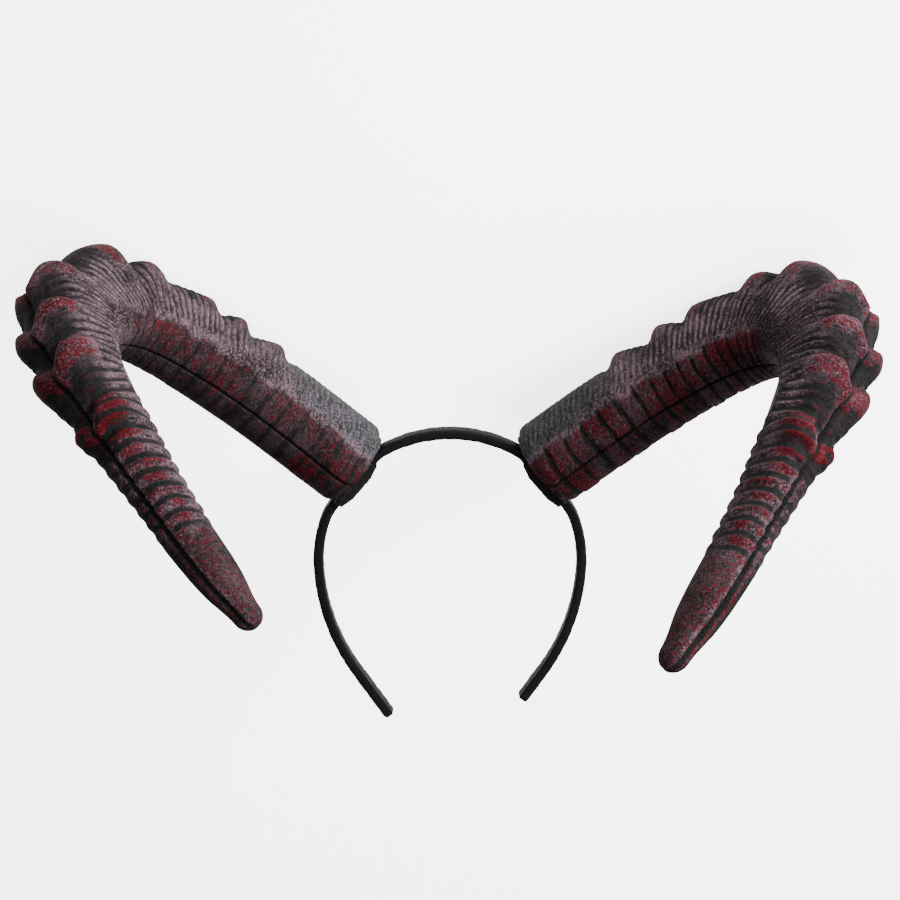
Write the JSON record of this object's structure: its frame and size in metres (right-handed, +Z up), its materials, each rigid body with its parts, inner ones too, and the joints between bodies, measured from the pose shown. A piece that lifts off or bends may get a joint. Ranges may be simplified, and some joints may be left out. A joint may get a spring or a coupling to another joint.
{
  "type": "horn headband",
  "caption": "Costume headband: a springy satin-covered band carrying large hooked foam horns with knuckled backs and ribbed tips",
  "frame": {"origin": "Middle of the bounding box in plan, on the surface the headband lies on", "axes": "+Z up from the surface, +X across both horns from the left horn to the right horn of the picture, +Y the way the crown of the band points, so the band's open ends point to -Y"},
  "size_m": [0.4036, 0.2586, 0.2349],
  "materials": {
    "satin": "satin",
    "felt": "matte",
    "foam": "matte"
  },
  "bodies": {
    "root": {"band": "satin", "base_patch_left": "felt", "base_patch_right": "felt", "horn_left_front": "foam", "horn_left_back": "foam", "horn_right_front": "foam", "horn_right_back": "foam"}
  },
  "joints": []
}
